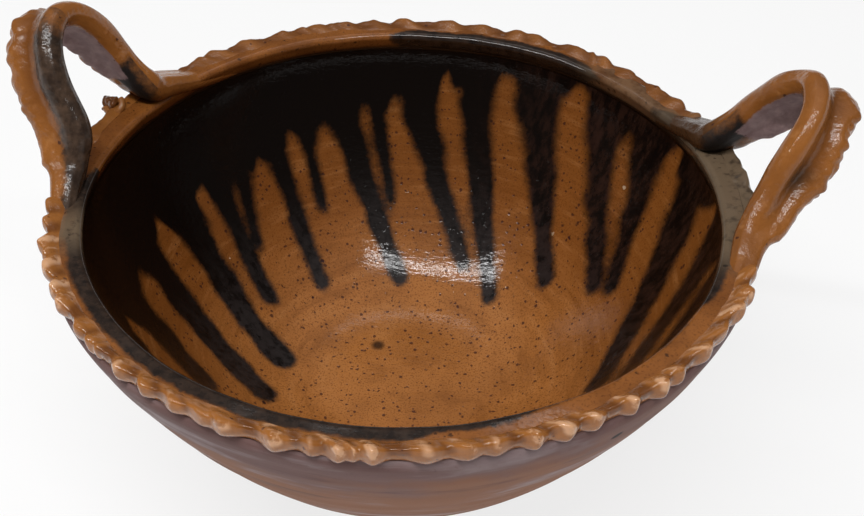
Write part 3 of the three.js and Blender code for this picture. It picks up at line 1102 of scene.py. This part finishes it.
# Handles: a pulled strap with a thick inner roll, a finger groove and a lumpy outer roll
strap = {
    "leftLean": 22,  # degrees outwards from upright
    "rightLean": 33,
    "loopRise": 52.3,
    "loopFullness": 2.4,
    "legHalfWidth": 24,
    "footSpread": 35.5,
    "frontReach": 44,  # the feet run out along the rim to here, from the middle of the handle
    "backReach": 50,
    "frontTail": 20,  # and thin out over this much more
    "backTail": 34,
    "tailHeight": 9,
    "frontTailSpread": -0.3,  # the tails narrow or widen by this share half-way
    "backTailSpread": 0.3,
    "tailNarrow": 0.85,  # and narrow by this much to their ends
    "backTailFlat": 0.4,  # the back tails are this much flatter
    "flareHeight": 32,
    "backSkew": 4,  # the top of each loop sits this far behind the middle of its feet
    "widenHeight": 38,  # the strap has its full width from here
    "rollSpacing": 13.6,
    "innerRoll": 5.2,
    "outerRoll": 4.9,
    "groove": 3.8,
    "leftGroove": 0.6,  # the left handle's groove is shallower
    "footRadius": 123,
    "footRollSpacing": 6,
    "footInnerRoll": 4.8,
    "footOuterRoll": 3.8,
    "footRise": -2,  # middle of the inner roll low on the feet, from the flat of the lip
    "footSink": 4.8,  # the ends of the feet go down into the rim
    "footDraw": 3.6,  # draw out from the opening
    "tailTaper": 0.35,  # and taper
    "outerTailTaper": 0.5,
    "backFootSink": 1.15,
    "backFootIn": 3.0,  # the feet at the back lie further in over the band
    "backFootThick": 1.35,  # the feet at the back are thicker
    "backFootHeight": 22,
    "innerBulge": 5,  # the left front leg swells in over the opening
    "bulgeHeights": (2, 16, 40),
    "backBulge": 3.5,  # and so do the back legs, at their feet
    "backBulgeHeights": (-6, 6, 24),
    "ringPoints": 48,
    "stations": 200,
    "lumps": (1.8, 9),  # heights and sizes of the marks left in the clay
    "pimples": (2.7, 4.4),
    "handMarks": (0.9, 13),
    "toolMarks": (0.4, 4),
    "slipTop": 53,  # dark slip on the inner roll of the left front leg, up to here
    "undercutShadowHeight": 24,  # painted shadow under the back legs, up to here
    "tailClean": 8,  # and less by this on the tails
    "bareFrom": 18,  # the inner face is bare clay above this
    "darkFoot": 24,  # the right back foot is smoked up to here
    "smudgeHeights": (20, 30, 40),  # ash in the groove of the right front leg
}


def strapSkin(turn, spacing, innerRoll, outerRoll, groove):
    # a point of the strap's section: x across it from the inner roll, y away from the fingers
    reach = spacing + innerRoll + outerRoll
    x = -innerRoll + reach * (1 - math.cos(turn)) / 2
    if x < 0:
        half = math.sqrt(max(0, innerRoll**2 - x**2))
    elif x > spacing:
        half = math.sqrt(max(0, outerRoll**2 - (x - spacing) ** 2))
    else:
        half = mix(innerRoll, outerRoll, x / spacing)
    inGroove = math.sin(math.pi * min(1, max(0, x / spacing))) ** 2
    isOuterFace = turn < math.pi
    y = half - groove * inGroove if isOuterFace else -half + 0.4 * groove * inGroove
    return x, y, inGroove if isOuterFace else 0, isOuterFace


def makeStrap(name, node, middleAngle, leanDegrees, side):
    bm = bmesh.new()
    turnLayer, groove, smoked = addLayers(bm, "turn", "groove", "smoked")
    slipDepth, undercutShadowDepth, bareDepth = addLayers(bm, "slipDepth", "undercutShadowDepth", "bareDepth")
    lean = math.radians(leanDegrees)
    up = Vector((0, 0, 1))
    radial = Vector((math.cos(middleAngle), math.sin(middleAngle), 0))
    along = Vector((-math.sin(middleAngle), math.cos(middleAngle), 0))
    rising = up * math.cos(lean) + radial * math.sin(lean)
    across = radial * math.cos(lean) - up * math.sin(lean)
    planeRadius = math.sqrt(strap["footRadius"] ** 2 - strap["footSpread"] ** 2)
    isLeft = side < 0
    lumpHeight, lumpSize = strap["lumps"]
    pimpleHeight, pimpleSize = strap["pimples"]
    handHeight, handSize = strap["handMarks"]
    toolHeight, toolSize = strap["toolMarks"]

    def rollPoint(station):
        # middle line of the inner roll, from the foot at one end to the foot at the other
        turn = math.pi * smoothstep(0, 1, station)
        climb = max(0, math.sin(turn)) ** (2 / strap["loopFullness"])
        climb *= strap["loopRise"] - strap["footRise"]
        flare = max(0, 1 - math.sqrt(climb / strap["flareHeight"])) ** 2
        sign = 1 if math.cos(turn) >= 0 else -1
        isFront = (station < 0.5) == isLeft
        low = max(0, 1 - climb / strap["tailHeight"])
        sideways = strap["legHalfWidth"] * math.cos(turn)
        sideways += sign * (strap["frontReach" if isFront else "backReach"] - strap["legHalfWidth"]) * flare
        sideways += sign * strap["frontTail" if isFront else "backTail"] * low**3
        stand = smoothstep(0, strap["flareHeight"], climb)
        widen = smoothstep(0, strap["widenHeight"], climb)
        rimFollow = math.sqrt(strap["footRadius"] ** 2 - sideways**2) - planeRadius
        skew = strap["backSkew"] * side * stand
        sink = strap["footSink"] * smoothstep(0.45, 1, low) * (1 if isFront else strap["backFootSink"])
        point = up * (pot["rimHeight"] + strap["footRise"] - sink)
        inward = 0 if isFront else strap["backFootIn"] * (1 - stand)
        point += radial * (planeRadius + rimFollow * (1 - stand) + strap["footDraw"] * low**3 - inward)
        point += along * (sideways + skew) + rising * climb
        return point, stand, widen, climb, isFront, low

    count = strap["stations"]
    rows = [rollPoint(i / count) for i in range(count + 1)]
    ring = bmesh.ops.create_circle(bm, segments=strap["ringPoints"], radius=1)["verts"]
    for i, vert in enumerate(ring):
        vert[turnLayer] = 2 * math.pi * (i + 0.5) / strap["ringPoints"]
    edges = bm.edges[:]
    for i, (point, stand, widen, climb, isFront, low) in enumerate(rows):
        if i > 0:
            made = bmesh.ops.extrude_edge_only(bm, edges=edges)["geom"]
            ring = [part for part in made if isinstance(part, bmesh.types.BMVert)]
            fresh = set(ring)
            made = [part for part in made if isinstance(part, bmesh.types.BMEdge)]
            edges = [edge for edge in made if fresh.issuperset(edge.verts)]
        onRim = Vector((point.x, point.y, 0)).normalized()
        isEnd = i in (0, count)
        forward = onRim.cross(up) if isEnd else (rows[i + 1][0] - rows[i - 1][0]).normalized()
        wide = onRim.lerp(across, stand)
        outward = forward.cross(wide).normalized()
        wide = outward.cross(forward).normalized()
        thick = 1
        spacing = mix(strap["footRollSpacing"], strap["rollSpacing"], widen)
        spread = strap["frontTailSpread" if isFront else "backTailSpread"]
        spacing *= 1 + spread * 4 * low * (1 - low) - strap["tailNarrow"] * low**3
        innerRoll = mix(strap["footInnerRoll"], strap["innerRoll"], widen)
        innerRoll *= 1 - strap["tailTaper"] * low**3
        outerRoll = mix(strap["footOuterRoll"], strap["outerRoll"], widen)
        outerRoll *= 1 - strap["outerTailTaper"] * low**3
        deep = strap["groove"] * widen * (strap["leftGroove"] if isLeft else 1)
        bulge = strap["innerBulge"] * hump(*strap["bulgeHeights"], climb) if isFront and isLeft else 0
        if not isFront:
            thick = mix(strap["backFootThick"], 1, smoothstep(0, strap["backFootHeight"], climb))
            thick *= 1 - strap["backTailFlat"] * low
            bulge = strap["backBulge"] * hump(*strap["backBulgeHeights"], climb) * (1 - low)
        reach = spacing + innerRoll + outerRoll
        for vert in ring:
            x, y, inGroove, isOuterFace = strapSkin(vert[turnLayer], spacing, innerRoll, outerRoll, deep)
            outerShare = smoothstep(spacing * 0.4, spacing, x) * widen
            shifted = x - bulge * (1 - (x + innerRoll) / reach)
            base = point + wide * shifted + outward * y * thick
            rough = lumpHeight * (grain(base, lumpSize, 11) - 0.15) * outerShare
            rough += pimpleHeight * (abs(grain(base, pimpleSize, 17)) - 0.3) * outerShare
            rough += handHeight * grain(base, handSize, 19) * smoothstep(0, 12, climb)
            rough += toolHeight * grain(Vector((x * 3, y * 3, climb / 4)), toolSize, 13)
            away = (wide * (x - spacing * 0.5) + outward * y).normalized()
            vert.co = base + away * rough
            # the groove's share also sets the painted shade in the groove
            vert[groove] = inGroove * widen
            vert[bareDepth] = -6
            vert[slipDepth] = -6
            vert[undercutShadowDepth] = -6
            if not isOuterFace:
                insideFace = min(x + innerRoll * 0.2, spacing + outerRoll * 0.4 - x)
                vert[bareDepth] = min(insideFace, (climb - strap["bareFrom"]) * 0.6)
            if isFront and isLeft:
                edge = spacing * 0.3
                vert[slipDepth] = min(edge - x, (strap["slipTop"] - climb) * 0.6)
            if isFront and not isLeft:
                vert[smoked] = inGroove * hump(*strap["smudgeHeights"], climb)
            # painted shadow on the face under the back legs, near the feet
            if not isFront and not isOuterFace:
                facing = min((x + innerRoll) * 0.8, spacing * 0.6 - x)
                vert[undercutShadowDepth] = min(strap["undercutShadowHeight"] - climb, facing) - strap["tailClean"] * low
            if not isFront and not isLeft:
                vert[smoked] = smoothstep(strap["darkFoot"], strap["darkFoot"] * 0.3, climb)
    closeEnds(bm, strap["ringPoints"])
    piece = finishPiece(name, bm, node, strapFinish)
    addSubdivision(piece)
    return piece


makeBowl()
makeLip()
footEnd = math.radians(pot["footEnd"])
under = math.radians(coil["underlap"])
frontStart = leftMiddle + footEnd - under
frontEnd = rightMiddle - footEnd + under + 2 * math.pi
backStart = rightMiddle + footEnd - under
backEnd = leftMiddle - footEnd + under
makeCoil("frontCoil", "rim_coil_front", frontStart, frontEnd, coil["pitchFront"])
makeCoil(
    "backCoil",
    "rim_coil_back",
    backStart,
    backEnd,
    coil["pitchBack"],
    coil["softBack"],
    coil["riseBack"],
    coil["innerBack"],
    greyStart=coil["backGrey"],
)
makeCoil("leftCoil", "rim_coil_left", leftMiddle - footEnd, leftMiddle + footEnd, hasCurl=True)
makeCoil("rightCoil", "rim_coil_right", rightMiddle - footEnd, rightMiddle + footEnd, greyShare=1)
makeStrap("leftStrap", "left_handle_strap", leftMiddle, strap["leftLean"], -1)
makeStrap("rightStrap", "right_handle_strap", rightMiddle, strap["rightLean"], 1)


# Studio: a pale floor that curves up far away, a long soft box above the front, a weak one above the
# back, low fills all round for the outside, and a dim sky
studio = {
    "floorRadius": 5.0,  # metres
    "wallHeight": 0.6,
    "wallSteps": 8,
    "floorSteps": 64,
    "floorColour": (0.9, 0.9, 0.9, 1),
    "floorRough": 0.9,
    "whiteShare": 0.8,  # how much of the floor's white doesn't depend on the lamps
    "skyLow": 0.08,  # strength of the sky near the horizon
    "skyHigh": 0.6,  # and overhead
    "skyFrom": 0.5,  # it brightens between these heights, where 0 is the horizon and 1 is overhead
    "skyTo": 0.98,
    "unmirrored": ("lowFill", "leftFill", "rightFill", "backFill"),  # lamps that the glaze doesn't mirror
    # soft boxes: degrees from +X and from the horizon, metres, direction of the long side, watts
    "softBoxes": {
        "keyBox": {"place": (-118, 70.5), "distance": 1.0, "size": (1.10, 0.048), "along": 174, "power": 8.1},
        "backBox": {"place": (101, 61), "distance": 1.1, "size": (0.4, 0.05), "along": 11, "power": 0.3},
        "lowFill": {"place": (-81, 3.7), "distance": 1.3, "size": (2.2, 0.15), "along": 9, "power": 4.8},
        "leftFill": {"place": (165, 3.7), "distance": 1.3, "size": (1.6, 0.15), "along": 255, "power": 2.4},
        "rightFill": {"place": (12, 3.7), "distance": 1.3, "size": (1.6, 0.15), "along": 102, "power": 2.4},
        "backFill": {"place": (90, 3.7), "distance": 1.3, "size": (1.6, 0.15), "along": 180, "power": 2.4},
    },
}


def fromAbove(azimuth, elevation):
    a = math.radians(azimuth)
    e = math.radians(elevation)
    return Vector((math.cos(a) * math.cos(e), math.sin(a) * math.cos(e), math.sin(e)))


def makeStage():
    material, tree, shader = newMaterial("paleFloor", 0)
    shader.inputs["Base Color"].default_value = studio["floorColour"]
    shader.inputs["Roughness"].default_value = studio["floorRough"]
    light = tree.nodes.new("ShaderNodeLightPath").outputs
    seen = calc(tree, "MAXIMUM", light["Is Camera Ray"], light["Is Glossy Ray"])
    seen = calc(tree, "MAXIMUM", seen, light["Is Transmission Ray"])
    white = addNode(tree, "ShaderNodeEmission", Strength=1.0)
    shown = tree.nodes.new("ShaderNodeMixShader")
    tree.links.new(times(tree, seen, studio["whiteShare"]), shown.inputs[0])
    tree.links.new(shader.outputs[0], shown.inputs[1])
    tree.links.new(white.outputs[0], shown.inputs[2])
    tree.links.new(shown.outputs[0], tree.nodes["Material Output"].inputs["Surface"])
    bm = bmesh.new()
    radius = studio["floorRadius"]
    wall = studio["wallHeight"]
    edge = [(0, 0), (radius - wall, 0)]
    for i in range(1, studio["wallSteps"] + 1):
        turn = math.pi / 2 * i / studio["wallSteps"]
        edge.append((radius - wall + wall * math.sin(turn), wall * (1 - math.cos(turn))))
    row, edges = drawLine(bm, edge)
    turnProfile(bm, row + edges, studio["floorSteps"])
    bmesh.ops.recalc_face_normals(bm, faces=bm.faces)
    mesh = bpy.data.meshes.new("paleFloor")
    bm.to_mesh(mesh)
    bm.free()
    for polygon in mesh.polygons:
        polygon.use_smooth = True
    mesh.materials.append(material)
    floor = bpy.data.objects.new("paleFloor", mesh)
    scene.collection.objects.link(floor)


def makeLights():
    for name, box in studio["softBoxes"].items():
        area = bpy.data.lights.new(name, "AREA")
        area.shape = "RECTANGLE"
        area.size, area.size_y = box["size"]
        area.energy = box["power"]
        lamp = bpy.data.objects.new(name, area)
        direction = fromAbove(*box["place"])
        upright = direction.cross(fromAbove(box["along"], 0)).normalized()
        turn = Matrix((upright.cross(direction), upright, direction)).transposed()
        lamp.matrix_world = Matrix.Translation(direction * box["distance"]) @ turn.to_4x4()
        lamp.visible_camera = False
        lamp.visible_glossy = name not in studio["unmirrored"]
        scene.collection.objects.link(lamp)
    world = bpy.data.worlds.new("studioSky")
    world.use_nodes = True
    tree = world.node_tree
    direction = addNode(tree, "ShaderNodeTexCoord").outputs["Generated"]
    upward = addNode(tree, "ShaderNodeSeparateXYZ", Vector=direction).outputs["Z"]
    bright = ramp(tree, upward, studio["skyFrom"], studio["skyTo"], studio["skyLow"], studio["skyHigh"])
    sky = tree.nodes["Background"]
    sky.inputs["Color"].default_value = (1, 1, 1, 1)
    tree.links.new(bright, sky.inputs["Strength"])
    scene.world = world


makeStage()
makeLights()
print("stage and lights made")
